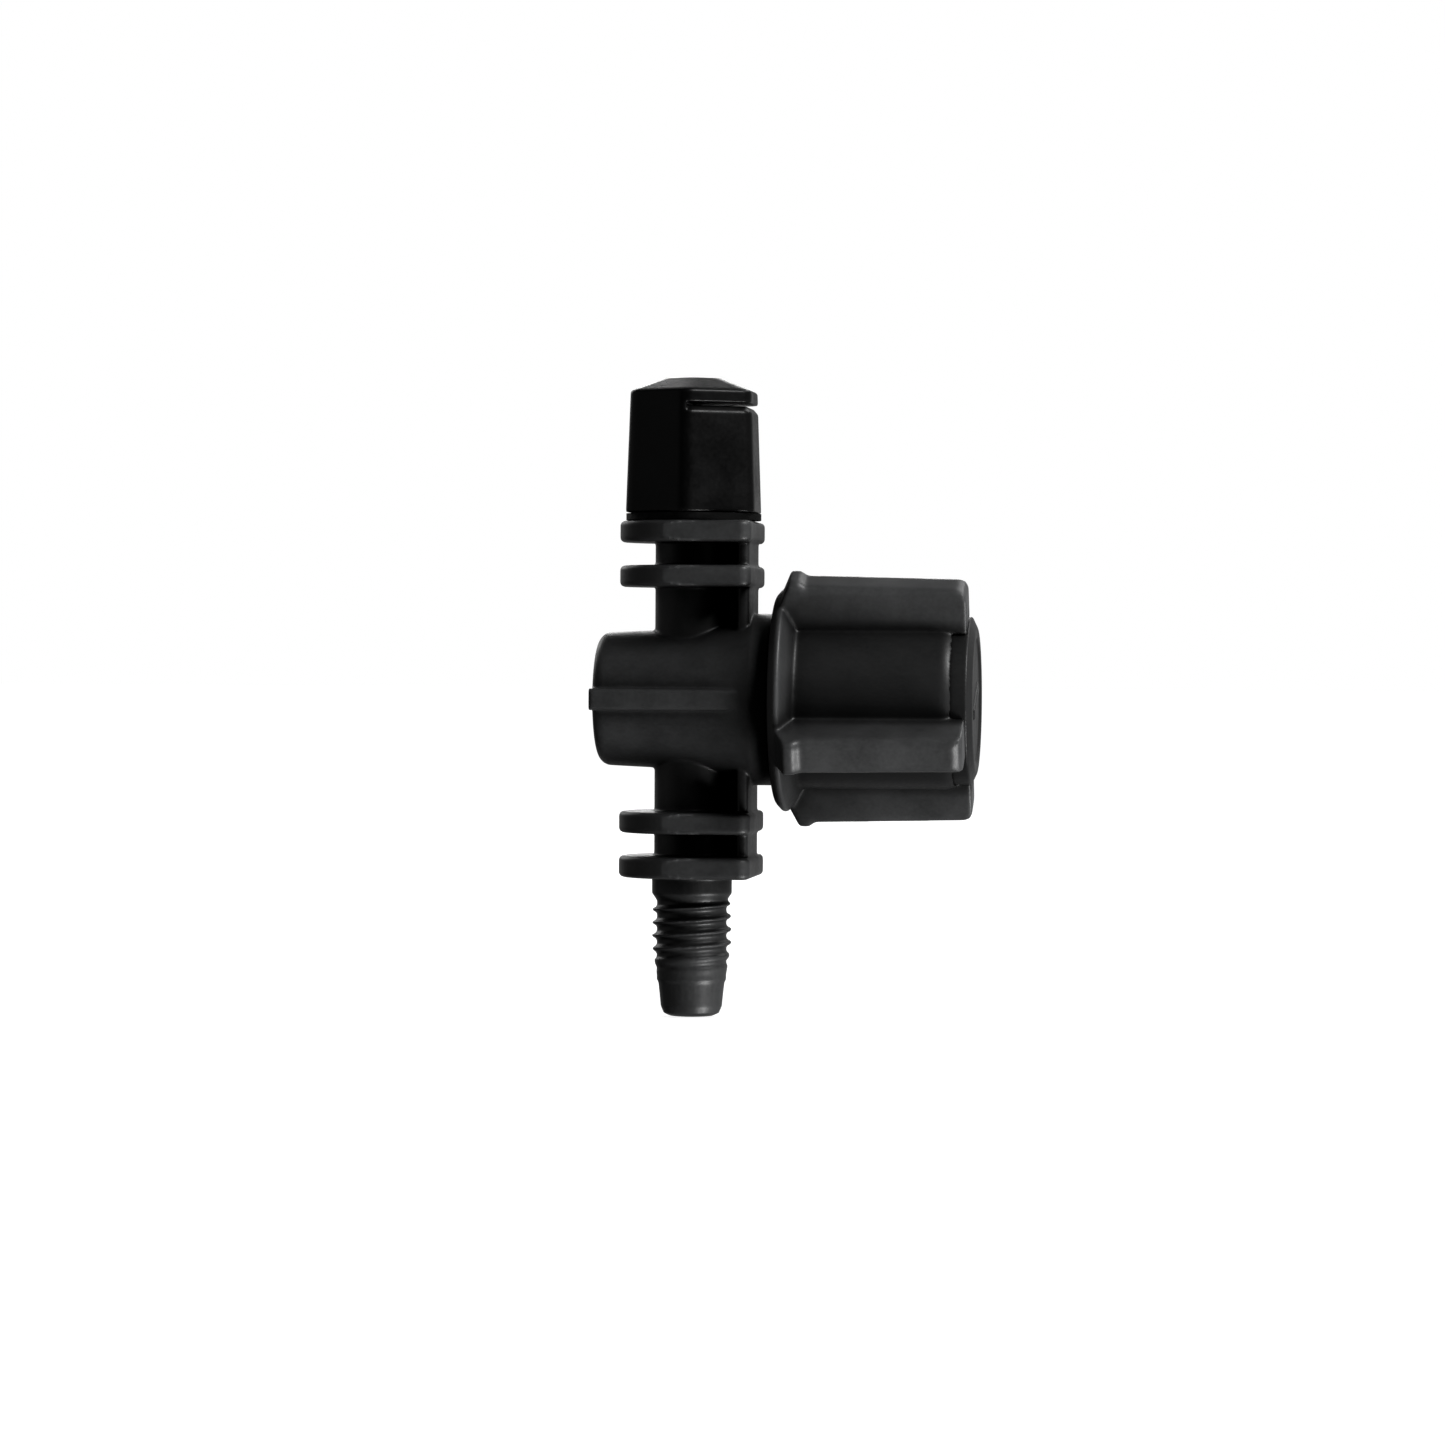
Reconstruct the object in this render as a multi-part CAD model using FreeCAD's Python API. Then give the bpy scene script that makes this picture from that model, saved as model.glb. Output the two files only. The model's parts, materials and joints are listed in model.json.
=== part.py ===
"""Adjustable micro-irrigation emitter with a screw-in inlet, a quarter-turn flow valve and a spray cap.

Units are millimetres. Z is the flow axis and points from the inlet to the nozzle. The valve lies
across it, parallel to X, with its knob on the +X side. Z = 0 is the underside of the lowest flange,
the face that stops against whatever the inlet is screwed into.
"""
import FreeCAD, Part
import math
import os

Vec = FreeCAD.Vector
X_DIR = Vec(1, 0, 0)
Y_DIR = Vec(0, 1, 0)
Z_DIR = Vec(0, 0, 1)

# ---------------------------------------------------------------- driving dimensions
NEAR = 0.01        # tolerance for picking edges and faces
OVERCUT = 1.0      # how far a cutting tool runs past the face that it opens
WELD = 0.3         # how far two features of one moulding run into each other

# Inlet nipple: a 10-32 sized thread with a plain nose below it and a plain collar above it.
NOSE_END_Z = -8.45
NOSE_END_R = 1.86
NOSE_TOP_R = 2.02
NOSE_ROUNDING = 0.6
THREAD_ROOT_R = 2.11
THREAD_CREST_R = 2.415
THREAD_PITCH = 0.794
THREAD_TURNS = 8
THREAD_BOTTOM_Z = -6.35
THREAD_TOP_Z = -1.3
THREAD_CREST_Z = -1.61
THREAD_CREST_HALF_WIDTH = 0.07
THREAD_LEAD_IN = 2.2
THREAD_RUN_OUT = 0.35
COLLAR_BOTTOM_Z = -1.1
COLLAR_R = 2.43
COLLAR_CHAMFER = 0.09
FLOW_BORE_R = 1.1

# Flanges and stem, symmetric above and below the valve axis.
VALVE_Z = 10.8
FLANGE_THICKNESS = 1.3
FLANGE_INNER_GAP = 6.8
FLANGE_OUTER_GAP = VALVE_Z - FLANGE_THICKNESS
FLANGE_ROUND_R = 4.45
FLANGE_HALF_DEPTH = 4.25
FLANGE_RIGHT_X = 3.95
FLANGE_CORNER = 0.7
FLANGE_EDGE = 0.28
STEM_TUBE_R = 2.31
STEM_WALL_X = 3.7
STEM_WALL_THICKNESS = 0.7
STEM_WALL_HALF_DEPTH = 2.75
STEM_WALL_CORNER = 0.3
STEM_WEB_THICKNESS = 1.1

# Valve barrel, its neck and the sleeve that reaches into the knob.
BARREL_LEFT_X = -5.7
BARREL_R = 4.05
BARREL_RIM = 0.75
BARREL_SWELL = ((-2.0, 0.14), (1.4, 0.5))
NECK_R = 5.2
NECK_START_X = 3.9
NECK_END_X = 5.05
SLEEVE_R = 3.9
SLEEVE_END_X = 8.6
BARREL_BORE_R = 3.0
BARREL_BORE_LEFT_X = -4.5
RIB_INNER_R = 3.3
RIB_OUTER_R = 5.0
RIB_WIDTH = 1.3
RIB_LEFT_X = -5.72
RIB_RIGHT_X = 3.6
RIB_EDGE = 0.25

# Quarter-turn plug inside the barrel. The rest angle leaves the valve partly open.
PLUG_CLEARANCE = 0.03
PLUG_R = BARREL_BORE_R - PLUG_CLEARANCE
PLUG_LEFT_X = -4.35
PLUG_CHAMFER = 0.2
PLUG_SHOULDER_X = 7.1
PLUG_NECK_R = 2.2
PLUG_REST_ANGLE = 25.5
ORING_SECTION_R = 0.37
ORING_SQUEEZE_GAP = 0.01
ORING_OFFSET_X = 3.2
ORING_GROOVE_R = 2.24
ORING_GROOVE_WIDTH = 0.9
METERING_NOTCH_DEPTH = 0.35
METERING_NOTCH_WIDTH = 0.5
METERING_NOTCH_ANGLE = 46
METERING_NOTCH_STARTS = (90, 270)
DRIVE_SQUARE = 3.2
DRIVE_START_X = 8.6
DRIVE_END_X = 14.93
HOOK_R = 2.25
HOOK_END_X = 15.5
HOOK_CHAMFER = 0.35
HOOK_SLOT = 0.7
HOOK_SLOT_DEPTH = 2.5
WASHER_LEFT_X = 7.14
WASHER_THICKNESS = 0.4
WASHER_GAP = 0.06
RING_GROOVE_R = 3.35
RING_GROOVE_LEFT_X = 7.6
RING_GROOVE_RIGHT_X = 8.15
RING_SIDE_GAP = 0.05
RING_OUTER_GAP = 0.04
RING_INNER_GAP = 0.12
RING_OPENING_ANGLE = 50

# Four-lobed knob.
KNOB_LEFT_X = 5.18
KNOB_RIM_R = 6.3
KNOB_BEAD_R = 6.8
KNOB_BEAD_X = 5.75
KNOB_BEAD_HALF_FLAT = 0.12
KNOB_CORE_R = 5.37
KNOB_CORE_LEFT_X = 6.65
KNOB_CORE_END_X = 16.6
KNOB_CORE_ROUNDING = 1.2
KNOB_BORE_R = 4.3
KNOB_BORE_END_X = 14.2
HUB_R = 2.9
HUB_LEFT_X = 8.75
SOCKET_CLEARANCE = 0.03
LOBE_COUNT = 4
LOBE_RAMP_X = 5.5
LOBE_RAMP_R = 6.4
LOBE_LIP_START_X = 6.3
LOBE_LIP_END_X = 6.85
LOBE_LIP_FOOT_X = 7.25
LOBE_LIP_R = 8.27
LOBE_R = 7.97
LOBE_END_X = 16.9
LOBE_END_R = 7.74
LOBE_END_CORNER = 0.55
LOBE_WIDTH = 2.2
LOBE_BASE_WIDTH = 2.5
LOBE_SUNK_R = 3.0
LOBE_ROUNDING = 0.5
HOOK_POCKET_R = 3.2
HOOK_POCKET_LEFT_X = 14.9
END_CAP_SEAT_X = 15.7
END_CAP_SEAT_GAP = 0.02
END_CAP_R = 5.08
END_CAP_SIDE_GAP = 0.04
END_CAP_SHOULDER_X = 16.98
END_CAP_OUTER_X = 17.3
END_CAP_FACE_R = 4.4
END_CAP_DISH_R = 3.7
END_CAP_DISH_DEPTH = 0.15
END_CAP_BAR = (4.0, 0.6)

# Nozzle: spigot on the body, and the hexagonal cap that turns and lifts on it.
SPIGOT_R = 2.32
SPIGOT_TOP_Z = 27.2
SPIGOT_CHAMFER = 0.2
SPIGOT_GROOVE_Z = 24.6
SPIGOT_GROOVE_R = 1.75
SPIGOT_GROOVE_WIDTH = 0.7
SPIGOT_ORING_SECTION_R = 0.3
SPIGOT_ORING_OUTER_R = 2.36
GASKET_GAP = 0.05
GASKET_THICKNESS = 0.4
GASKET_R = 4.1
GASKET_BORE_R = 2.42
CAP_HEX_R = 4.53
CAP_SHOULDER_HEX_R = 4.25
CAP_SHOULDER_Z = 29.42
CAP_SHOULDER_BEVEL = (0.3, 0.13)
CAP_TOP_HEX_R = 1.95
CAP_TOP_Z = 30.26
CAP_EDGE = 0.95
CAP_BORE_R = 2.37
CAP_BORE_TOP_Z = 29.25
SLOT_Z = 28.48
SLOT_HEIGHT = 0.2
SLOT_LIP_HEIGHT = 0.36
SLOT_LIP_DEPTH = 0.34
CORE_R = 2.34
CORE_BOTTOM_Z = 27.35
CORE_TOP_Z = 29.2
CORE_CHAMFER = 0.15
CORE_WELL_R = 0.95
CORE_WELL_TOP_Z = 28.7
CORE_CHAMBER_BOTTOM_Z = 28.1

# ---------------------------------------------------------------- shape helpers


def cylinder_z(radius, bottom, top):
    return Part.makeCylinder(radius, top - bottom, Vec(0, 0, bottom), Z_DIR)


def cylinder_x(radius, left, right):
    return Part.makeCylinder(radius, right - left, Vec(left, 0, VALVE_Z), X_DIR)


def tube_x(outer, inner, left, right):
    return cylinder_x(outer, left, right).cut(cylinder_x(inner, left - OVERCUT, right + OVERCUT))


def tube_z(outer, inner, bottom, top):
    return cylinder_z(outer, bottom, top).cut(cylinder_z(inner, bottom - OVERCUT, top + OVERCUT))


def box(x_range, y_range, z_range):
    """A box between two corners, given as (low, high) on each axis."""
    corner = Vec(x_range[0], y_range[0], z_range[0])
    size = [high - low for low, high in (x_range, y_range, z_range)]
    return Part.makeBox(size[0], size[1], size[2], corner)


def around_valve(half_y, half_z):
    """The y and z ranges of a box centred on the valve axis."""
    return (-half_y, half_y), (VALVE_Z - half_z, VALVE_Z + half_z)


def line(start, end):
    return Part.LineSegment(start, end).toShape()


def arc(start, middle, end):
    return Part.Arc(start, middle, end).toShape()


def lines(points):
    return [line(a, b) for a, b in zip(points, points[1:])]


def turned(edges, axis_start, axis_dir, angle=360):
    """A solid of revolution from the closed loop of edges."""
    face = Part.Face(Part.Wire(Part.__sortEdges__(edges)))
    return face.revolve(axis_start, axis_dir, angle)


def turned_z(profile):
    """Turns a closed (radius, z) outline about the flow axis."""
    points = [Vec(r, 0, z) for r, z in profile]
    return turned(lines(points + points[:1]), Vec(0, 0, 0), Z_DIR)


def beside_valve(x, r):
    """The point at distance r above the valve axis."""
    return Vec(x, 0, VALVE_Z + r)


def turned_x(profile, angle=360):
    """Turns a closed (x, radius) outline about the valve axis."""
    points = [beside_valve(x, r) for x, r in profile]
    return turned(lines(points + points[:1]), Vec(0, 0, VALVE_Z), X_DIR, angle)


def turn_about_valve(shape, angle):
    """A copy of the shape turned about the valve axis, in degrees by the right-hand rule."""
    copy = shape.copy()
    copy.rotate(Vec(0, 0, VALVE_Z), X_DIR, angle)
    return copy


def edges_at(shape, test):
    """The straight and curved edges whose midpoint passes the test."""
    return [e for e in shape.Edges if test(e.valueAt((e.FirstParameter + e.LastParameter) / 2))]


def rounded_polygon(corners, radius):
    """A closed wire round a polygon whose corners are replaced by tangent arcs."""
    starts, ends, middles = [], [], []
    count = len(corners)
    for i, corner in enumerate(corners):
        to_last = (corners[i - 1] - corner).normalize()
        to_next = (corners[(i + 1) % count] - corner).normalize()
        half = to_last.getAngle(to_next) / 2
        setback = radius / math.tan(half)
        inward = (to_last + to_next).normalize()
        starts.append(corner + to_last * setback)
        ends.append(corner + to_next * setback)
        middles.append(corner + inward * (radius / math.sin(half) - radius))
    edges = []
    for i in range(count):
        edges.append(arc(starts[i], middles[i], ends[i]))
        edges.append(line(ends[i], starts[(i + 1) % count]))
    return Part.Wire(Part.__sortEdges__(edges))


# ---------------------------------------------------------------- valve body


def ridge_section(start_z):
    """The thread's section: concave flanks that rise from below the root to a narrow crest."""
    def at(r, z):
        return Vec(r, 0, start_z + z)

    sunk = THREAD_ROOT_R - THREAD_CREST_HALF_WIDTH * 2
    proud = THREAD_CREST_R + THREAD_CREST_HALF_WIDTH
    middle = THREAD_ROOT_R + (THREAD_CREST_R - THREAD_ROOT_R) * 0.3
    base = THREAD_PITCH * 0.49
    flank = THREAD_PITCH * 0.27
    crest = THREAD_CREST_HALF_WIDTH
    lower_flank = arc(at(THREAD_ROOT_R, -base), at(middle, -flank), at(proud, -crest))
    upper_flank = arc(at(proud, crest), at(middle, flank), at(THREAD_ROOT_R, base))
    back = lines([at(THREAD_ROOT_R, base), at(sunk, base), at(sunk, -base), at(THREAD_ROOT_R, -base)])
    return Part.Wire([lower_flank, line(at(proud, -crest), at(proud, crest)), upper_flank] + back)


def helical_ridge():
    """The thread's ridge, trimmed to its crest radius and to a taper at each end."""
    start = THREAD_CREST_Z - (THREAD_TURNS - 1) * THREAD_PITCH
    helix = Part.makeLongHelix(THREAD_PITCH, THREAD_TURNS * THREAD_PITCH, THREAD_ROOT_R)
    helix.translate(Vec(0, 0, start))
    ridge = Part.Wire(helix.Edges).makePipeShell([ridge_section(start)], True, True)
    inside = THREAD_ROOT_R - THREAD_CREST_HALF_WIDTH
    envelope = turned_z([
        (0, THREAD_BOTTOM_Z),
        (inside, THREAD_BOTTOM_Z),
        (THREAD_CREST_R, THREAD_BOTTOM_Z + THREAD_LEAD_IN),
        (THREAD_CREST_R, THREAD_TOP_Z - THREAD_RUN_OUT),
        (inside, THREAD_TOP_Z),
        (0, THREAD_TOP_Z),
    ])
    return ridge.common(envelope)


def nipple():
    """Nose, thread core and collar, turned as one, with the thread's ridge around the core."""
    nose_top = THREAD_BOTTOM_Z
    soft = NOSE_ROUNDING * (1 - math.sqrt(0.5))
    core = turned_z([
        (0, NOSE_END_Z),
        (NOSE_END_R - NOSE_ROUNDING, NOSE_END_Z),
        (NOSE_END_R - soft, NOSE_END_Z + soft),
        (NOSE_END_R, NOSE_END_Z + NOSE_ROUNDING),
        (NOSE_TOP_R, nose_top),
        (THREAD_ROOT_R, nose_top + COLLAR_CHAMFER),
        (THREAD_ROOT_R, COLLAR_BOTTOM_Z - THREAD_RUN_OUT),
        (COLLAR_R - COLLAR_CHAMFER, COLLAR_BOTTOM_Z),
        (COLLAR_R, COLLAR_BOTTOM_Z + COLLAR_CHAMFER),
        (COLLAR_R, WELD),
        (0, WELD),
    ])
    return core.fuse(helical_ridge())


def flange(bottom):
    """One flange: round on the left of the flow axis and square on its right, with softened edges."""
    top = bottom + FLANGE_THICKNESS
    crease_x = -math.sqrt(FLANGE_ROUND_R**2 - FLANGE_HALF_DEPTH**2)
    front = Vec(crease_x, -FLANGE_HALF_DEPTH, bottom)
    back = Vec(crease_x, FLANGE_HALF_DEPTH, bottom)
    front_right = Vec(FLANGE_RIGHT_X, -FLANGE_HALF_DEPTH, bottom)
    back_right = Vec(FLANGE_RIGHT_X, FLANGE_HALF_DEPTH, bottom)
    outline = [arc(back, Vec(-FLANGE_ROUND_R, 0, bottom), front)]
    outline += lines([front, front_right, back_right, back])
    plate = Part.Face(Part.Wire(outline)).extrude(Vec(0, 0, FLANGE_THICKNESS))

    def is_right_corner(p):
        on_corner = p.x > FLANGE_RIGHT_X - NEAR and abs(p.y) > FLANGE_HALF_DEPTH - NEAR
        return on_corner and bottom + NEAR < p.z < top - NEAR

    plate = plate.makeFillet(FLANGE_CORNER, edges_at(plate, is_right_corner))
    rims = edges_at(plate, lambda p: p.z < bottom + NEAR or p.z > top - NEAR)
    return plate.makeFillet(FLANGE_EDGE, rims)


def flange_bottoms():
    """The undersides of the four flanges, mirrored about the valve axis."""
    below = [VALVE_Z - gap - FLANGE_THICKNESS for gap in (FLANGE_OUTER_GAP, FLANGE_INNER_GAP)]
    above = [VALVE_Z + gap for gap in (FLANGE_INNER_GAP, FLANGE_OUTER_GAP)]
    return below + above


def stem():
    """Flow tube, flat outer wall and the web between them, cored out on both sides."""
    bottom = WELD
    top = 2 * VALVE_Z - WELD
    tube = cylinder_z(STEM_TUBE_R, bottom, top)
    wall_inner_x = STEM_WALL_X - STEM_WALL_THICKNESS
    wall = box((wall_inner_x, STEM_WALL_X), (-STEM_WALL_HALF_DEPTH, STEM_WALL_HALF_DEPTH), (bottom, top))

    def is_upright(p):
        return abs(p.y) > STEM_WALL_HALF_DEPTH - NEAR and bottom + NEAR < p.z < top - NEAR

    wall = wall.makeFillet(STEM_WALL_CORNER, edges_at(wall, is_upright))
    half_web = STEM_WEB_THICKNESS / 2
    web = box((0, STEM_WALL_X - WELD), (-half_web, half_web), (bottom, top))
    return tube.fuse([wall, web])


def barrel():
    """Barrel that swells smoothly into the neck, and the plain sleeve beyond it."""
    soft = BARREL_RIM * (1 - math.sqrt(0.5))
    rim_start = beside_valve(BARREL_LEFT_X, BARREL_R - BARREL_RIM)
    rim_middle = beside_valve(BARREL_LEFT_X + soft, BARREL_R - soft)
    rim_end = beside_valve(BARREL_LEFT_X + BARREL_RIM, BARREL_R)
    neck_start = beside_valve(NECK_START_X, NECK_R)
    swell = Part.BSplineCurve()
    swell.interpolate([rim_end, *[beside_valve(x, BARREL_R + rise) for x, rise in BARREL_SWELL], neck_start])
    outline = [
        line(beside_valve(BARREL_LEFT_X, 0), rim_start),
        arc(rim_start, rim_middle, rim_end),
        swell.toShape(),
    ]
    outline += lines([
        neck_start, beside_valve(NECK_END_X, NECK_R), beside_valve(NECK_END_X, SLEEVE_R),
        beside_valve(SLEEVE_END_X, SLEEVE_R), beside_valve(SLEEVE_END_X, 0), beside_valve(BARREL_LEFT_X, 0),
    ])
    return turned(outline, Vec(0, 0, VALVE_Z), X_DIR)


def barrel_rib(side):
    """A straight rib along the barrel's front or back, with rounded outer edges."""
    half = RIB_WIDTH / 2
    y_range = sorted((side * RIB_INNER_R, side * RIB_OUTER_R))
    rib = box((RIB_LEFT_X, RIB_RIGHT_X), y_range, (VALVE_Z - half, VALVE_Z + half))
    outer = edges_at(rib, lambda p: abs(p.y) > RIB_OUTER_R - NEAR and p.x < RIB_RIGHT_X - NEAR)
    return rib.makeFillet(RIB_EDGE, outer)


def spigot():
    post = cylinder_z(SPIGOT_R, 2 * VALVE_Z - WELD, SPIGOT_TOP_Z)
    return post.makeChamfer(SPIGOT_CHAMFER, edges_at(post, lambda p: p.z > SPIGOT_TOP_Z - NEAR))


def valve_body():
    solid = nipple().fuse([flange(z) for z in flange_bottoms()])
    solid = solid.fuse([stem(), barrel(), barrel_rib(-1), barrel_rib(1), spigot()])
    half = SPIGOT_GROOVE_WIDTH / 2
    return solid.cut([
        cylinder_z(FLOW_BORE_R, NOSE_END_Z - OVERCUT, SPIGOT_TOP_Z + OVERCUT),
        cylinder_x(BARREL_BORE_R, BARREL_BORE_LEFT_X, SLEEVE_END_X + OVERCUT),
        tube_x(RING_GROOVE_R, BARREL_BORE_R - WELD, RING_GROOVE_LEFT_X, RING_GROOVE_RIGHT_X),
        tube_z(SPIGOT_R + OVERCUT, SPIGOT_GROOVE_R, SPIGOT_GROOVE_Z - half, SPIGOT_GROOVE_Z + half),
    ])


# ---------------------------------------------------------------- valve plug and what it carries


def plug_oring_groove(x):
    half = ORING_GROOVE_WIDTH / 2
    return tube_x(PLUG_R + OVERCUT, ORING_GROOVE_R, x - half, x + half)


def metering_notch(start):
    """Shallow groove beside one mouth of the port, so that the flow starts as a trickle."""
    half = METERING_NOTCH_WIDTH / 2
    mouth_r = PLUG_R + PLUG_CHAMFER
    groove = turned_x([(-half, mouth_r), (0, PLUG_R - METERING_NOTCH_DEPTH), (half, mouth_r)],
                      METERING_NOTCH_ANGLE)
    return turn_about_valve(groove, start)


def valve_plug():
    plug = turned_x([
        (PLUG_LEFT_X, 0), (PLUG_LEFT_X, PLUG_R - PLUG_CHAMFER), (PLUG_LEFT_X + PLUG_CHAMFER, PLUG_R),
        (PLUG_SHOULDER_X, PLUG_R), (PLUG_SHOULDER_X, PLUG_NECK_R), (DRIVE_START_X, PLUG_NECK_R),
        (DRIVE_START_X, 0),
    ])
    half = DRIVE_SQUARE / 2
    drive = box((DRIVE_START_X - WELD, DRIVE_END_X + NEAR), *around_valve(half, half))
    hooks = cylinder_x(HOOK_R, DRIVE_END_X, HOOK_END_X)
    hooks = hooks.makeChamfer(HOOK_CHAMFER, edges_at(hooks, lambda p: p.x > HOOK_END_X - NEAR))
    slot_start = DRIVE_END_X - HOOK_SLOT_DEPTH
    slot = box((slot_start, HOOK_END_X + OVERCUT), *around_valve(HOOK_SLOT / 2, HOOK_R + OVERCUT))
    port_half = PLUG_R + OVERCUT
    port = Part.makeCylinder(FLOW_BORE_R, 2 * port_half, Vec(0, -port_half, VALVE_Z), Y_DIR)
    grooves = [plug_oring_groove(x) for x in (-ORING_OFFSET_X, ORING_OFFSET_X)]
    notches = [metering_notch(start) for start in METERING_NOTCH_STARTS]
    plug = plug.fuse([drive, hooks]).cut([port, slot] + grooves + notches)
    return turn_about_valve(plug.removeSplitter(), PLUG_REST_ANGLE)


def plug_oring(x):
    centre_r = BARREL_BORE_R - ORING_SQUEEZE_GAP - ORING_SECTION_R
    return Part.makeTorus(centre_r, ORING_SECTION_R, Vec(x, 0, VALVE_Z), X_DIR)


def plug_oring_inner():
    return plug_oring(-ORING_OFFSET_X)


def plug_oring_outer():
    return plug_oring(ORING_OFFSET_X)


def thrust_washer():
    right = WASHER_LEFT_X + WASHER_THICKNESS
    return tube_x(BARREL_BORE_R - WASHER_GAP, PLUG_NECK_R + WASHER_GAP, WASHER_LEFT_X, right)


def retaining_ring():
    """Split ring in the sleeve's groove. Its opening faces down."""
    left = RING_GROOVE_LEFT_X + RING_SIDE_GAP
    right = RING_GROOVE_RIGHT_X - RING_SIDE_GAP
    ring = tube_x(RING_GROOVE_R - RING_OUTER_GAP, PLUG_NECK_R + RING_INNER_GAP, left, right)
    reach = RING_GROOVE_R + OVERCUT
    across = reach * math.tan(math.radians(RING_OPENING_ANGLE / 2))
    corners = [Vec(left - OVERCUT, y, VALVE_Z - depth)
               for y, depth in ((0, 0), (-across, reach), (across, reach))]
    opening = Part.Face(Part.Wire(lines(corners + corners[:1])))
    return ring.cut(opening.extrude(Vec(right - left + 2 * OVERCUT, 0, 0)))


# ---------------------------------------------------------------- knob


def lobe_section(x, outer_r):
    """A lobe's rounded section across the valve axis, standing up along +Z."""
    slope = (LOBE_BASE_WIDTH - LOBE_WIDTH) / 2 / (LOBE_R - KNOB_CORE_R)
    half_outer = LOBE_WIDTH / 2
    half_base = half_outer + slope * (LOBE_R - LOBE_SUNK_R)
    corners = [
        Vec(x, -half_base, VALVE_Z + LOBE_SUNK_R), Vec(x, -half_outer, VALVE_Z + outer_r),
        Vec(x, half_outer, VALVE_Z + outer_r), Vec(x, half_base, VALVE_Z + LOBE_SUNK_R),
    ]
    return rounded_polygon(corners, LOBE_ROUNDING)


def lobe():
    """One lobe with a raised lip at its left end and a light draft to the right."""
    sections = [
        (KNOB_LEFT_X, LOBE_LIP_R), (LOBE_LIP_END_X, LOBE_LIP_R), (LOBE_LIP_FOOT_X, LOBE_R),
        (LOBE_END_X, LOBE_END_R),
    ]
    return Part.makeLoft([lobe_section(x, r) for x, r in sections], True, True)


def lobe_envelope():
    """Ramps at the lobes' left ends and the soft corner at their right ends."""
    clear_r = LOBE_LIP_R + OVERCUT
    soft = LOBE_END_CORNER * (1 - math.sqrt(0.5))
    corner_x = LOBE_END_X - LOBE_END_CORNER
    return turned_x([
        (KNOB_LEFT_X, 0), (KNOB_LEFT_X, KNOB_RIM_R), (LOBE_RAMP_X, LOBE_RAMP_R),
        (LOBE_LIP_START_X, LOBE_LIP_R + NEAR), (LOBE_LIP_START_X, clear_r),
        (corner_x, clear_r), (corner_x, LOBE_END_R + NEAR), (LOBE_END_X - soft, LOBE_END_R - soft),
        (LOBE_END_X, LOBE_END_R - LOBE_END_CORNER), (LOBE_END_X, 0),
    ])


def knob_core():
    """The round body under the lobes: rim, bead, straight core and rounded far end."""
    soft = KNOB_CORE_ROUNDING * (1 - math.sqrt(0.5))
    turn_start = beside_valve(KNOB_CORE_END_X - KNOB_CORE_ROUNDING, KNOB_CORE_R)
    turn_middle = beside_valve(KNOB_CORE_END_X - soft, KNOB_CORE_R - soft)
    turn_end = beside_valve(KNOB_CORE_END_X, KNOB_CORE_R - KNOB_CORE_ROUNDING)
    outline = lines([
        beside_valve(KNOB_LEFT_X, 0), beside_valve(KNOB_LEFT_X, KNOB_RIM_R),
        beside_valve(KNOB_BEAD_X - KNOB_BEAD_HALF_FLAT, KNOB_BEAD_R),
        beside_valve(KNOB_BEAD_X + KNOB_BEAD_HALF_FLAT, KNOB_BEAD_R),
        beside_valve(KNOB_CORE_LEFT_X, KNOB_CORE_R), turn_start,
    ])
    outline.append(arc(turn_start, turn_middle, turn_end))
    outline += lines([turn_end, beside_valve(KNOB_CORE_END_X, 0), beside_valve(KNOB_LEFT_X, 0)])
    return turned(outline, Vec(0, 0, VALVE_Z), X_DIR)


def control_knob():
    envelope = lobe_envelope()
    lobes = [turn_about_valve(lobe(), 360 / LOBE_COUNT * i).common(envelope) for i in range(LOBE_COUNT)]
    half = DRIVE_SQUARE / 2 + SOCKET_CLEARANCE
    socket = box((HUB_LEFT_X - OVERCUT, HOOK_POCKET_LEFT_X + OVERCUT), *around_valve(half, half))
    hollow = cylinder_x(KNOB_BORE_R, KNOB_LEFT_X - OVERCUT, KNOB_BORE_END_X)
    hub_gap = hollow.cut(cylinder_x(HUB_R, HUB_LEFT_X, KNOB_BORE_END_X + OVERCUT))
    knob = knob_core().fuse(lobes).cut([
        hub_gap,
        socket,
        cylinder_x(HOOK_POCKET_R, HOOK_POCKET_LEFT_X, END_CAP_SEAT_X + OVERCUT),
        cylinder_x(END_CAP_R + END_CAP_SIDE_GAP, END_CAP_SEAT_X, LOBE_END_X + OVERCUT),
    ])
    return turn_about_valve(knob.removeSplitter(), PLUG_REST_ANGLE)


def knob_end_cap():
    """Pressed-in cover over the plug's hooks, with a dished face and one raised bar."""
    inner = END_CAP_SEAT_X + END_CAP_SEAT_GAP
    dish_x = END_CAP_OUTER_X - END_CAP_DISH_DEPTH
    disc = turned_x([
        (inner, 0), (inner, END_CAP_R), (END_CAP_SHOULDER_X, END_CAP_R), (END_CAP_OUTER_X, END_CAP_FACE_R),
        (END_CAP_OUTER_X, END_CAP_DISH_R + END_CAP_DISH_DEPTH), (dish_x, END_CAP_DISH_R), (dish_x, 0),
    ])
    length, width = END_CAP_BAR
    bar = box((dish_x - END_CAP_DISH_DEPTH, END_CAP_OUTER_X), *around_valve(length / 2, width / 2))
    return turn_about_valve(disc.fuse(bar).removeSplitter(), PLUG_REST_ANGLE)


# ---------------------------------------------------------------- nozzle

GASKET_BOTTOM_Z = VALVE_Z + FLANGE_OUTER_GAP + FLANGE_THICKNESS + GASKET_GAP
CAP_BOTTOM_Z = GASKET_BOTTOM_Z + GASKET_THICKNESS + GASKET_GAP


def nozzle_gasket():
    return tube_z(GASKET_R, GASKET_BORE_R, GASKET_BOTTOM_Z, GASKET_BOTTOM_Z + GASKET_THICKNESS)


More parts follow.
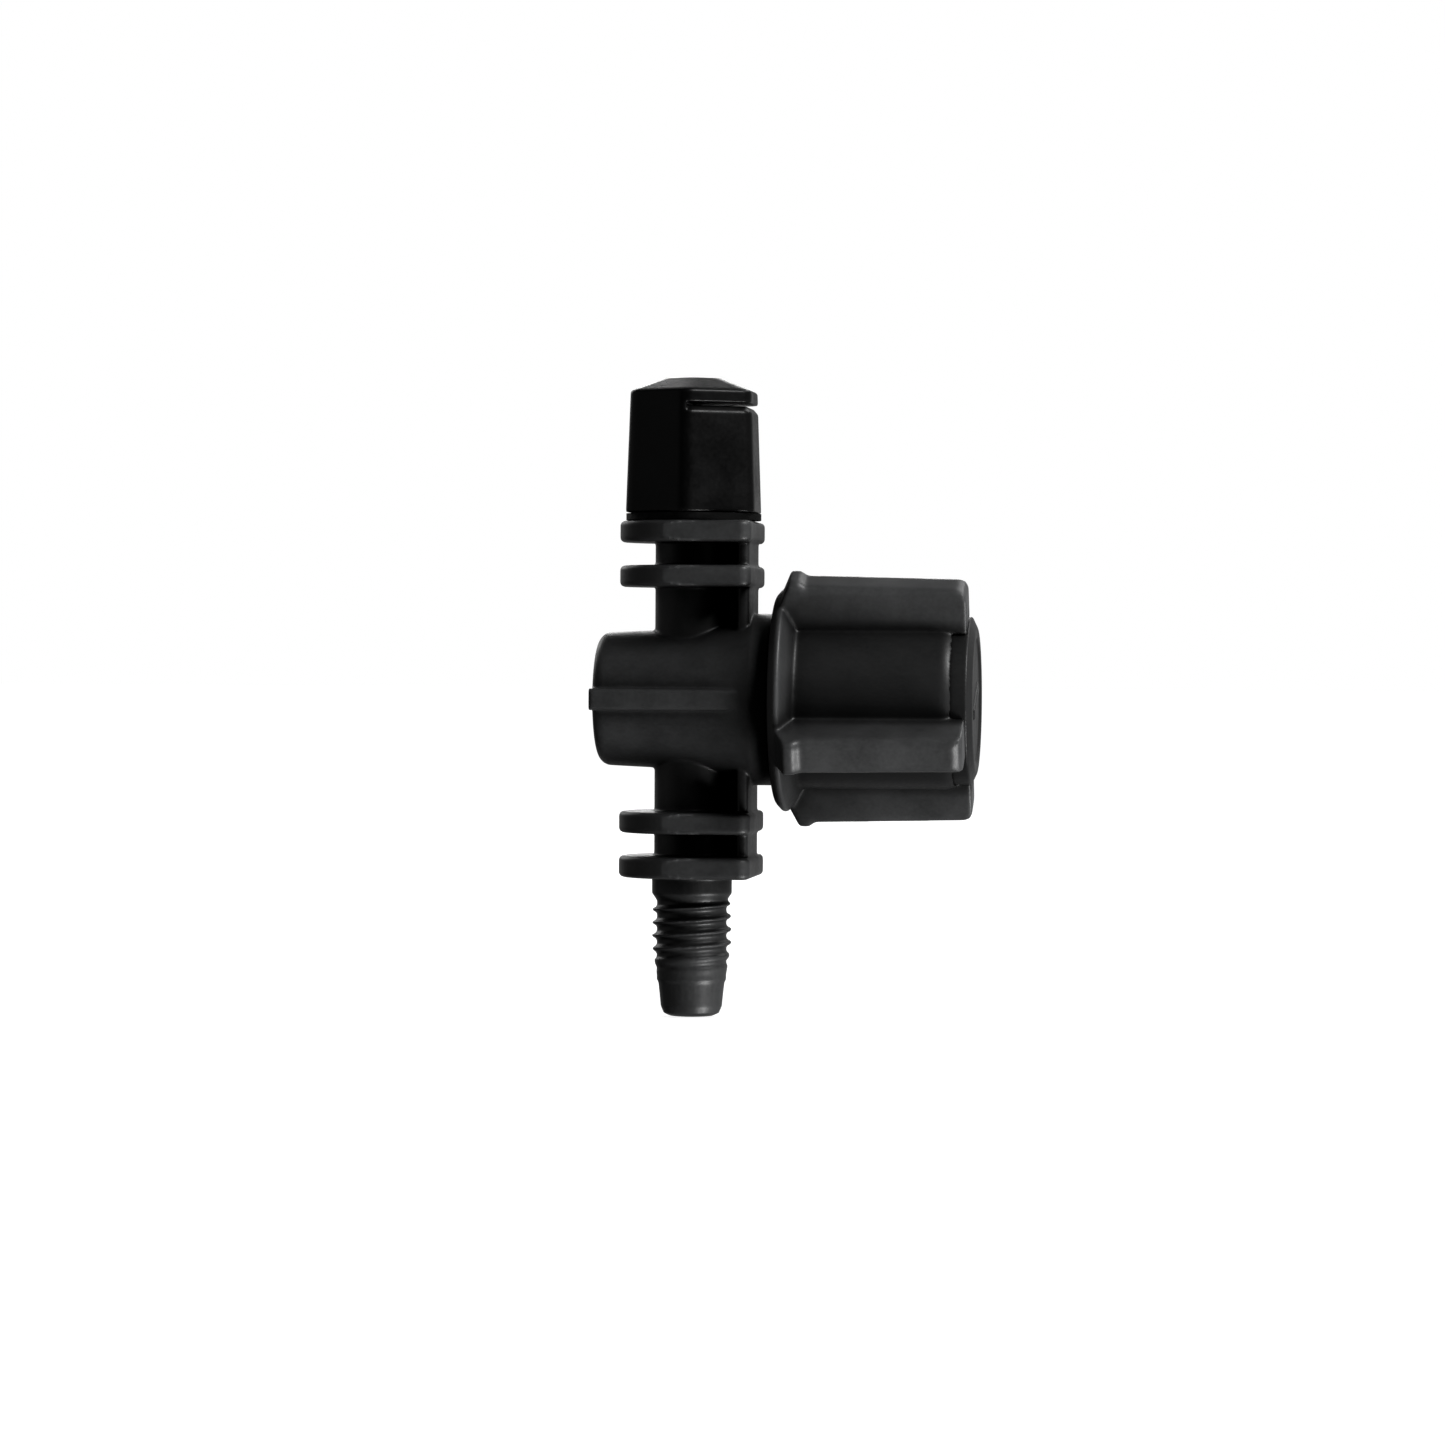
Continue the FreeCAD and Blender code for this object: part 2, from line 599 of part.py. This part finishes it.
def spigot_oring():
    centre_r = SPIGOT_ORING_OUTER_R - SPIGOT_ORING_SECTION_R
    return Part.makeTorus(centre_r, SPIGOT_ORING_SECTION_R, Vec(0, 0, SPIGOT_GROOVE_Z), Z_DIR)


def hexagon(hex_r, z):
    """Rounded hexagon with two flats facing the knob axis and corners to the front and back."""
    corner_angles = [math.radians(a) for a in range(30, 390, 60)]
    corners = [Vec(hex_r * math.cos(a), hex_r * math.sin(a), z) for a in corner_angles]
    return rounded_polygon(corners, CAP_EDGE)


def knob_side(ring, outer, bottom, top):
    """The half of a ring that lies on the knob's side of the flow axis."""
    return ring.common(box((0, outer), (-outer, outer), (bottom, top)))


def slot_lip():
    """What the sloped lower lip of the slot leaves open, outside a hexagon that narrows upwards."""
    bottom = SLOT_Z - SLOT_LIP_HEIGHT
    taper = (CAP_HEX_R - CAP_SHOULDER_HEX_R) / (CAP_SHOULDER_Z - CAP_BOTTOM_Z)
    wall_hex_r = CAP_HEX_R - taper * (bottom - CAP_BOTTOM_Z)
    outlines = [hexagon(wall_hex_r, bottom), hexagon(wall_hex_r - SLOT_LIP_DEPTH, SLOT_Z)]
    kept = Part.makeLoft(outlines, True, True)
    return knob_side(cylinder_z(CAP_HEX_R, bottom, SLOT_Z).cut(kept), CAP_HEX_R, bottom, SLOT_Z)


def nozzle_cap():
    """Hexagonal cap with a drafted skirt, a shallow pyramid top and the half-round spray slot."""
    inset, rise = CAP_SHOULDER_BEVEL
    levels = [(CAP_HEX_R, CAP_BOTTOM_Z), (CAP_SHOULDER_HEX_R, CAP_SHOULDER_Z),
              (CAP_SHOULDER_HEX_R - inset, CAP_SHOULDER_Z + rise), (CAP_TOP_HEX_R, CAP_TOP_Z)]
    cap = Part.makeLoft([hexagon(r, z) for r, z in levels], True, True)
    slot_top = SLOT_Z + SLOT_HEIGHT
    slot = knob_side(tube_z(CAP_HEX_R, CAP_BORE_R - WELD, SLOT_Z, slot_top), CAP_HEX_R, SLOT_Z, slot_top)
    return cap.cut([
        cylinder_z(CAP_BORE_R, CAP_BOTTOM_Z - OVERCUT, CAP_BORE_TOP_Z),
        slot,
        slot_lip(),
    ])


def nozzle_core():
    """Insert that turns the rising flow into a half circle at the slot."""
    core = cylinder_z(CORE_R, CORE_BOTTOM_Z, CORE_TOP_Z)
    core = core.makeChamfer(CORE_CHAMFER, edges_at(core, lambda p: p.z < CORE_BOTTOM_Z + NEAR))
    chamber = cylinder_z(CORE_R + OVERCUT, CORE_CHAMBER_BOTTOM_Z, CORE_WELL_TOP_Z)
    return core.cut([
        cylinder_z(CORE_WELL_R, CORE_BOTTOM_Z - OVERCUT, CORE_WELL_TOP_Z),
        knob_side(chamber, CORE_R + OVERCUT, CORE_CHAMBER_BOTTOM_Z, CORE_WELL_TOP_Z),
    ])


# ---------------------------------------------------------------- files

PIECES = (
    valve_body, retaining_ring, spigot_oring,
    valve_plug, plug_oring_inner, plug_oring_outer, thrust_washer, control_knob, knob_end_cap,
    nozzle_gasket, nozzle_cap, nozzle_core,
)

os.makedirs("parts", exist_ok=True)
for make in PIECES:
    shape = make()
    name = make.__name__
    if len(shape.Solids) != 1 or not shape.isValid():
        print(f"{name} needs repair: {len(shape.Solids)} solids, valid {shape.isValid()}")
    shape.Solids[0].exportStep(f"parts/{name}.step")
    print(f"{name}: {shape.Solids[0].Volume:.2f} cubic millimetres")
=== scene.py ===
"""Looks of the adjustable drip emitter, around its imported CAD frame. Lengths are in metres."""
import json
import math

import bmesh
import bpy
from mathutils import Matrix, Vector


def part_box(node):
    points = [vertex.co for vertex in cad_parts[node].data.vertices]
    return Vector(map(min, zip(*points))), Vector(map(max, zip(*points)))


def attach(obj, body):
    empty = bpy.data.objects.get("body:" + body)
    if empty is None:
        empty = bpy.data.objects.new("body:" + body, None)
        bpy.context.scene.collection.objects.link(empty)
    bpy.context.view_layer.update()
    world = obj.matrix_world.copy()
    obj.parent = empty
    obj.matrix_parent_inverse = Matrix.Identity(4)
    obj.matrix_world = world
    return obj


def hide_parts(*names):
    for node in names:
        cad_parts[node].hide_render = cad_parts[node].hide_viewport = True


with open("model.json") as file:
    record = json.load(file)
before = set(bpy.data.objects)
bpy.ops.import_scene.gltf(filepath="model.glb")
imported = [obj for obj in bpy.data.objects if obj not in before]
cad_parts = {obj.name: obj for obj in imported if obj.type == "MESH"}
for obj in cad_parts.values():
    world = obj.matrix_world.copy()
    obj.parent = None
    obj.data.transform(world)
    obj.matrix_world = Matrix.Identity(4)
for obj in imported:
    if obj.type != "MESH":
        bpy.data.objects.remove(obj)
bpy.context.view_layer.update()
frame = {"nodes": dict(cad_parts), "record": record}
nodes = frame["nodes"]
MM = 0.001
WHITE = (1.0, 1.0, 1.0, 1.0)

# Where the valve lies: the knob is centred on the valve axis, which runs along x.
KNOB_LOW, KNOB_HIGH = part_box("control_knob")
VALVE_Z = (KNOB_LOW.z + KNOB_HIGH.z) / 2
KNOB_RADIUS = (KNOB_HIGH.z - KNOB_LOW.z) / 2
INLET_TIP_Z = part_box("valve_body")[0].z

# Camera, as the product shot was taken: from the front, a little to the knob's side.
VIEW_AZIMUTH = math.radians(6.8)
VIEW_ELEVATION = math.radians(0.78)
VIEW_ROLL = math.radians(0.3)
VIEW_DISTANCE = 0.3
VIEW_WIDTH = 0.08783
AIM_HEIGHT = 0.0108
AXIS_LEFT_OF_CENTRE = 0.0018
AIM_ABOVE_CENTRE = 0.00142
CLIP_START = 0.01

# Surface of the moulded plastics.
FLOW_MARKS = 2.4 * MM
SPECKS = 0.22 * MM
SPECK_SHARE = 0.3
TONE_SPREAD = 0.25
GRAIN = 0.09 * MM
GRAIN_DEPTH = 0.0015 * MM
GLOSS_SPREAD = 0.06
SPECK_GLOSS_SPREAD = 0.04
PLASTIC_IOR = 1.48

# Rubbed edges, lighter partly from wear and partly as a painted highlight: the reach of the rounding, and
# how alike the two normals are where the lightening starts and is full.
EDGE_MARK_REACH = 0.3 * MM
EDGE_MARK_STARTS = 0.998
EDGE_MARK_FULL = 0.96

# Painted shade in hollows: how far open air is looked for, and the share of the tone left in the deepest
# ones.
RECESS_SHADE_REACH = 8.0 * MM
CREASE_SHADE_REACH = 1.2 * MM
DEEPEST_SHADE_SHARE = 0.02

# The knob's barrel, between its lobes, is painted darker as shade; the tone changes between these shares of
# its radius, from its barrel out to its lobes.
BARREL_SHARE = 0.70
LOBE_SHARE = 0.78


# ---------------------------------------------------------------- node helpers


class Nodes:
    """A material's or world's node tree, with short ways to add and join nodes."""

    def __init__(self, owner):
        owner.use_nodes = True
        self.tree = owner.node_tree
        self.tree.nodes.clear()

    def add(self, kind, values=None, **settings):
        node = self.tree.nodes.new(kind)
        for key, value in settings.items():
            setattr(node, key, value)
        for key, value in (values or {}).items():
            if isinstance(value, bpy.types.NodeSocket):
                self.tree.links.new(value, node.inputs[key])
            else:
                node.inputs[key].default_value = value
        return node

    def math(self, operation, a, b=0.0, clamp=False):
        node = self.add("ShaderNodeMath", {0: a, 1: b}, operation=operation, use_clamp=clamp)
        return node.outputs[0]

    def vector(self, operation, a, b=(0.0, 0.0, 0.0)):
        """The vector that a vector operation gives."""
        node = self.add("ShaderNodeVectorMath", {0: a, 1: b}, operation=operation)
        return node.outputs["Vector"]

    def measure(self, operation, a, b=(0.0, 0.0, 0.0)):
        """The number that a dot product or a length gives."""
        node = self.add("ShaderNodeVectorMath", {0: a, 1: b}, operation=operation)
        return node.outputs["Value"]

    def ramp(self, value, start, end, low, high, **settings):
        """low where value is start, high where it is end, and held there beyond both."""
        node = self.add("ShaderNodeMapRange", {0: value, 1: start, 2: end, 3: low, 4: high}, **settings)
        return node.outputs[0]

    def mix(self, factor, a, b):
        node = self.add("ShaderNodeMix", {0: factor, 6: a, 7: b}, data_type="RGBA")
        return node.outputs[2]

    def noise(self, where, size, detail=3.0, roughness=0.5):
        """Noise whose features are about the given size."""
        node = self.add("ShaderNodeTexNoise", {"Vector": where, "Scale": 1.0 / size, "Detail": detail,
                                               "Roughness": roughness})
        return node.outputs["Fac"]

    def spread(self, value, low, high):
        """A noise value, which lies mostly between 0.3 and 0.7, stretched to run from low to high."""
        return self.ramp(value, 0.3, 0.7, low, high)

    def open_air(self, reach, samples):
        """1 in the open, falling to 0 in a hollow that is narrow against reach."""
        node = self.add("ShaderNodeAmbientOcclusion", {"Distance": reach}, samples=samples)
        return node.outputs["AO"]

    def place(self):
        """The place on the object, in its own unmoved position."""
        return self.add("ShaderNodeTexCoord").outputs["Object"]

    def finish(self, values):
        """A Principled shader with these values, as the material's surface."""
        shader = self.add("ShaderNodeBsdfPrincipled", values)
        self.add("ShaderNodeOutputMaterial", {"Surface": shader.outputs[0]})


def grey(level, tint=0.015):
    """A grey of the given level, a touch cool."""
    return (level * (1 - tint), level, level * (1 + tint), 1.0)


# ---------------------------------------------------------------- materials


def edge_wear_and_highlight(n):
    """1 on rubbed edges, where a rounded normal leaves the real one, and 0 on flat faces; the lighter tone
    put there is partly wear and partly a painted highlight.
    """
    rounded = n.add("ShaderNodeBevel", {"Radius": EDGE_MARK_REACH}, samples=6).outputs["Normal"]
    real = n.add("ShaderNodeNewGeometry").outputs["Normal"]
    return n.ramp(n.measure("DOT_PRODUCT", rounded, real), EDGE_MARK_STARTS, EDGE_MARK_FULL, 0.0, 1.0)


def knob_lobes(n, where):
    """0 on the knob's barrel and 1 on its lobes, by the distance from the valve axis: where the barrel's
    painted shade goes.
    """
    from_axis = n.vector("SUBTRACT", where, (0, 0, VALVE_Z))
    radius = n.measure("LENGTH", n.vector("MULTIPLY", from_axis, (0, 1, 1)))
    return n.ramp(radius, KNOB_RADIUS * BARREL_SHARE, KNOB_RADIUS * LOBE_SHARE, 0.0, 1.0)


def moulded_plastic(name, level, edge_wear_and_highlight_level, roughness, specular, recess_shade, crease_shade, painted_barrel_shade=None):
    """Satin moulded plastic: flow marks in its tone, rubbed edges that are lighter partly as a painted
    highlight, painted shade in recesses and creases, uneven gloss, fine grain.

    The two shade powers say how strongly painted shade darkens wide hollows and tight corners. The barrel
    tone is a painted shade on a knob's barrel between its lobes.
    """
    material = bpy.data.materials.new(name)
    n = Nodes(material)
    where = n.place()
    flow = n.noise(where, FLOW_MARKS, 4.0, 0.6)
    speck = n.noise(where, SPECKS, 2.0)
    tone = n.math("ADD", n.spread(flow, 0.0, 1.0 - SPECK_SHARE), n.spread(speck, 0.0, SPECK_SHARE),
                  clamp=True)
    colour = n.mix(tone, grey(level * (1 - TONE_SPREAD)), grey(level * (1 + TONE_SPREAD)))
    # Edges lighter: partly wear, partly a painted highlight.
    colour = n.mix(edge_wear_and_highlight(n), colour, grey(edge_wear_and_highlight_level))
    # Painted shade: a knob's barrel between its lobes is darker.
    if painted_barrel_shade:
        colour = n.mix(knob_lobes(n, where), grey(painted_barrel_shade), colour)
    # Painted shade: the tone falls towards a near-black in hollows and tight corners, by ambient occlusion.
    wide = n.math("POWER", n.open_air(RECESS_SHADE_REACH, 8), recess_shade)
    tight = n.math("POWER", n.open_air(CREASE_SHADE_REACH, 6), crease_shade)
    colour = n.mix(n.math("MULTIPLY", wide, tight), grey(level * DEEPEST_SHADE_SHARE), colour)
    gloss = n.math("ADD", n.spread(flow, roughness - GLOSS_SPREAD, roughness + GLOSS_SPREAD),
                   n.spread(speck, -SPECK_GLOSS_SPREAD, SPECK_GLOSS_SPREAD))
    height = n.math("MULTIPLY", n.noise(where, GRAIN, 3.0, 0.6), GRAIN_DEPTH)
    bump = n.add("ShaderNodeBump", {"Height": height, "Strength": 1.0, "Distance": 1.0})
    n.finish({"Base Color": colour, "Roughness": gloss, "Normal": bump.outputs["Normal"],
              "IOR": PLASTIC_IOR, "Specular IOR Level": specular})
    return material


def seal_rubber():
    """Black rubber with a dusty bloom."""
    material = bpy.data.materials.new("seal_rubber")
    n = Nodes(material)
    dust = n.spread(n.noise(n.place(), 0.4 * MM, 4.0, 0.65), 0.0, 1.0)
    colour = n.mix(dust, grey(0.001), grey(0.003))
    bump = n.add("ShaderNodeBump", {"Height": n.math("MULTIPLY", dust, 0.01 * MM), "Distance": 1.0})
    n.finish({"Base Color": colour, "Roughness": n.spread(dust, 0.6, 0.75),
              "Normal": bump.outputs["Normal"], "Specular IOR Level": 0.15})
    return material


def spring_steel():
    """Stamped steel with turning marks round the valve axis."""
    material = bpy.data.materials.new("ring_steel")
    n = Nodes(material)
    streaks = n.add("ShaderNodeMapping", {"Vector": n.place(), "Scale": (12.0, 1.0, 1.0)}).outputs[0]
    marks = n.spread(n.noise(streaks, 0.3 * MM, 4.0, 0.6), 0.0, 1.0)
    colour = n.mix(marks, grey(0.42), grey(0.6))
    n.finish({"Base Color": colour, "Metallic": 1.0, "Roughness": n.spread(marks, 0.22, 0.38)})
    return material


def natural_nylon():
    """Undyed nylon, slightly cloudy."""
    material = bpy.data.materials.new("washer_plastic")
    n = Nodes(material)
    cloud = n.spread(n.noise(n.place(), 0.5 * MM), 0.0, 1.0)
    colour = n.mix(cloud, (0.5, 0.48, 0.42, 1.0), (0.62, 0.6, 0.54, 1.0))
    n.finish({"Base Color": colour, "Roughness": n.spread(cloud, 0.4, 0.55)})
    return material


def pale_floor():
    """Floor that glows by emission, its glow painted a touch dimmer just round the part as shade."""
    material = bpy.data.materials.new("pale_floor")
    n = Nodes(material)
    where = n.place()
    colour = n.mix(n.spread(n.noise(where, 0.2), 0.0, 1.0), grey(0.18), grey(0.2))
    # Painted shade: the floor's glow is dimmer near the part.
    glow_with_painted_shade = n.ramp(n.measure("LENGTH", where), 0.05, 0.4, 0.9, 1.0)
    n.finish({"Base Color": colour, "Roughness": 0.9, "Emission Color": WHITE, "Emission Strength": glow_with_painted_shade})
    return material


MATERIALS = {
    "body_plastic": moulded_plastic(
        "body_plastic", level=0.042, edge_wear_and_highlight_level=0.06, roughness=0.46, specular=0.35, recess_shade=2.5, crease_shade=0.6),
    "knob_plastic": moulded_plastic(
        "knob_plastic", level=0.057, edge_wear_and_highlight_level=0.066, roughness=0.46, specular=0.36, recess_shade=2.6, crease_shade=1.6,
        painted_barrel_shade=0.018),
    "cap_plastic": moulded_plastic(
        "cap_plastic", level=0.002, edge_wear_and_highlight_level=0.008, roughness=0.35, specular=0.18, recess_shade=0.5, crease_shade=0.5),
    "plug_plastic": moulded_plastic(
        "plug_plastic", level=0.05, edge_wear_and_highlight_level=0.06, roughness=0.3, specular=0.5, recess_shade=1.0, crease_shade=0.5),
    "seal_rubber": seal_rubber(),
    "ring_steel": spring_steel(),
    "washer_plastic": natural_nylon(),
}

SLOT_OF = {subpart["node"]: subpart["material_slot"] for subpart in frame["record"]["subparts"]}
BODIES = frame["record"]["behaviour"]["bodies"]
BODY_OF = {node: body for body, members in BODIES.items() for node in members}


# ---------------------------------------------------------------- pieces

# Shown as softened copies: voxel size, rounds of smoothing and about how many faces are kept.
SHELLS = {
    "valve_body": (0.08 * MM, 6, 180000),
    "control_knob": (0.08 * MM, 24, 150000),
    "knob_end_cap": (0.06 * MM, 12, 60000),
    "nozzle_cap": (0.07 * MM, 12, 120000),
}
WELD_REACH = 0.0005 * MM


def paint(obj, slot):
    obj.data.materials.clear()
    obj.data.materials.append(MATERIALS[slot])


def link(obj):
    bpy.context.scene.collection.objects.link(obj)
    return obj


def evaluated_mesh(obj):
    """The object's mesh with its modifiers applied."""
    depsgraph = bpy.context.evaluated_depsgraph_get()
    return bpy.data.meshes.new_from_object(obj.evaluated_get(depsgraph))


def softened_mesh(piece, voxel, rounds):
    """The piece's mesh with every edge rounded, shaded smooth."""
    weld = piece.modifiers.new("weld", "WELD")
    weld.merge_threshold = WELD_REACH
    remesh = piece.modifiers.new("remesh", "REMESH")
    remesh.mode = "VOXEL"
    remesh.voxel_size = voxel
    soften = piece.modifiers.new("soften", "SMOOTH")
    soften.factor = 0.5
    soften.iterations = rounds
    mesh = evaluated_mesh(piece)
    mesh.polygons.foreach_set("use_smooth", [True] * len(mesh.polygons))
    piece.modifiers.clear()
    return mesh


def thinned_mesh(piece, full, faces):
    """The piece's mesh with about the given number of triangles, shaded as the full object is."""
    thin = piece.modifiers.new("thin", "DECIMATE")
    thin.ratio = min(1.0, faces / (2 * len(full.data.polygons)))
    shading = piece.modifiers.new("shading", "DATA_TRANSFER")
    shading.object = full
    shading.use_loop_data = True
    shading.data_types_loops = {"CUSTOM_NORMAL"}
    shading.loop_mapping = "POLYINTERP_NEAREST"
    mesh = evaluated_mesh(piece)
    piece.modifiers.clear()
    return mesh


def moulded_shell(node, voxel, rounds, faces):
    """A copy of a CAD node with every edge softened, as it leaves a mould. It shows in the node's place."""
    piece = link(bpy.data.objects.new(node + "_shell", nodes[node].data.copy()))
    full = link(bpy.data.objects.new(node + "_full", softened_mesh(piece, voxel, rounds)))
    piece.data = full.data.copy()
    piece.data = thinned_mesh(piece, full, faces)
    bpy.data.objects.remove(full)
    paint(piece, SLOT_OF[node])
    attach(piece, BODY_OF[node])
    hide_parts(node)


for name, obj in nodes.items():
    paint(obj, SLOT_OF[name])
for name, (voxel, rounds, faces) in SHELLS.items():
    moulded_shell(name, voxel, rounds, faces)


# ---------------------------------------------------------------- floor, light and camera

FLOOR_RADIUS = 3.0
FLOOR_GAP = 0.05 * MM

# Softboxes: direction of the centre, as x right, y back and z up, then diameter and radiance.
LIGHT_DISTANCE = 0.4
SOFTBOXES = (
    ("upper_softbox", (0.66, -0.36, 0.66), 0.18, 25.0),
    ("lower_softbox", (0.66, -0.38, -0.65), 0.18, 28.0),
    ("rear_softbox", (-0.11, 0.93, 0.35), 0.12, 7.0),
    ("back_softbox", (0.45, 0.55, 0.70), 0.2, 5.0),
    ("left_softbox", (-0.60, 0.70, 0.39), 0.2, 3.0),
)
# Pale walls of the studio: direction, where each is full and where it has faded, in degrees, and radiance.
WALLS = (
    ((-0.1, 1.0, 0.06), 36.0, 50.0, 0.45),
    ((1.0, 0.25, 0.0), 20.0, 45.0, 0.2),
    ((-1.0, -0.15, 0.0), 15.0, 40.0, 0.3),
)
DIM_STUDIO = 0.01
DISPLAY_GAMMA = 0.85


def floor():
    """Plain glowing floor, also lit. It sits just under the inlet, and the lower softbox shines up through
    it.
    """
    mesh = bpy.data.meshes.new("floor")
    shape = bmesh.new()
    bmesh.ops.create_circle(shape, cap_ends=True, segments=96, radius=FLOOR_RADIUS)
    shape.to_mesh(mesh)
    shape.free()
    mesh.materials.append(pale_floor())
    obj = link(bpy.data.objects.new("floor", mesh))
    obj.location.z = INLET_TIP_Z - FLOOR_GAP
    obj.visible_diffuse = False
    obj.visible_glossy = False
    obj.visible_transmission = False
    obj.visible_shadow = False


def studio_world():
    """A dim studio with a pale sweep behind and a pale wall on each side. The backdrop itself is white."""
    world = bpy.data.worlds.new("studio")
    bpy.context.scene.world = world
    n = Nodes(world)
    way = n.add("ShaderNodeTexCoord").outputs["Generated"]
    light = DIM_STUDIO
    for towards, full, faded, radiance in WALLS:
        aligned = n.measure("DOT_PRODUCT", way, Vector(towards).normalized())
        wall = n.ramp(aligned, math.cos(math.radians(faded)), math.cos(math.radians(full)), 0.0, radiance,
                      interpolation_type="SMOOTHSTEP")
        light = n.math("ADD", wall, light)
    seen = n.add("ShaderNodeLightPath").outputs["Is Camera Ray"]
    strength = n.add("ShaderNodeMix", {0: seen, 2: light, 3: 1.0}, data_type="FLOAT").outputs[0]
    background = n.add("ShaderNodeBackground", {"Color": WHITE, "Strength": strength})
    n.add("ShaderNodeOutputWorld", {"Surface": background.outputs[0]})


def softbox(name, way, size, radiance):
    """A round softbox that faces the part. Its power is radiance times pi times its area."""
    light = bpy.data.lights.new(name, "AREA")
    light.shape = "DISK"
    light.size = size
    light.energy = radiance * math.pi * math.pi * size * size / 4
    obj = link(bpy.data.objects.new(name, light))
    way = Vector(way).normalized()
    obj.location = Vector((0, 0, AIM_HEIGHT)) + way * LIGHT_DISTANCE
    obj.rotation_euler = (-way).to_track_quat("-Z", "Y").to_euler()
    obj.visible_camera = False


def camera():
    """The product shot's camera. The stem's axis is a little left of the picture's centre."""
    level = math.cos(VIEW_ELEVATION)
    right = Vector((math.cos(VIEW_AZIMUTH), math.sin(VIEW_AZIMUTH), 0))
    ahead = Vector((-math.sin(VIEW_AZIMUTH) * level, math.cos(VIEW_AZIMUTH) * level,
                    -math.sin(VIEW_ELEVATION)))
    up = right.cross(ahead)
    rolled_right = right * math.cos(VIEW_ROLL) + up * math.sin(VIEW_ROLL)
    rolled_up = up * math.cos(VIEW_ROLL) - right * math.sin(VIEW_ROLL)
    data = bpy.data.cameras.new("camera")
    data.lens = data.sensor_width * VIEW_DISTANCE / VIEW_WIDTH
    data.clip_start = CLIP_START
    obj = link(bpy.data.objects.new("camera", data))
    aim = Vector((0, 0, AIM_HEIGHT)) + rolled_right * AXIS_LEFT_OF_CENTRE - rolled_up * AIM_ABOVE_CENTRE
    place = aim - ahead * VIEW_DISTANCE
    turn = Matrix((rolled_right, rolled_up, -ahead)).transposed()
    obj.matrix_world = Matrix.Translation(place) @ turn.to_4x4()
    bpy.context.scene.camera = obj


floor()
studio_world()
for name, way, size, radiance in SOFTBOXES:
    softbox(name, way, size, radiance)
camera()
bpy.context.scene.view_settings.view_transform = "Standard"
bpy.context.scene.view_settings.gamma = DISPLAY_GAMMA
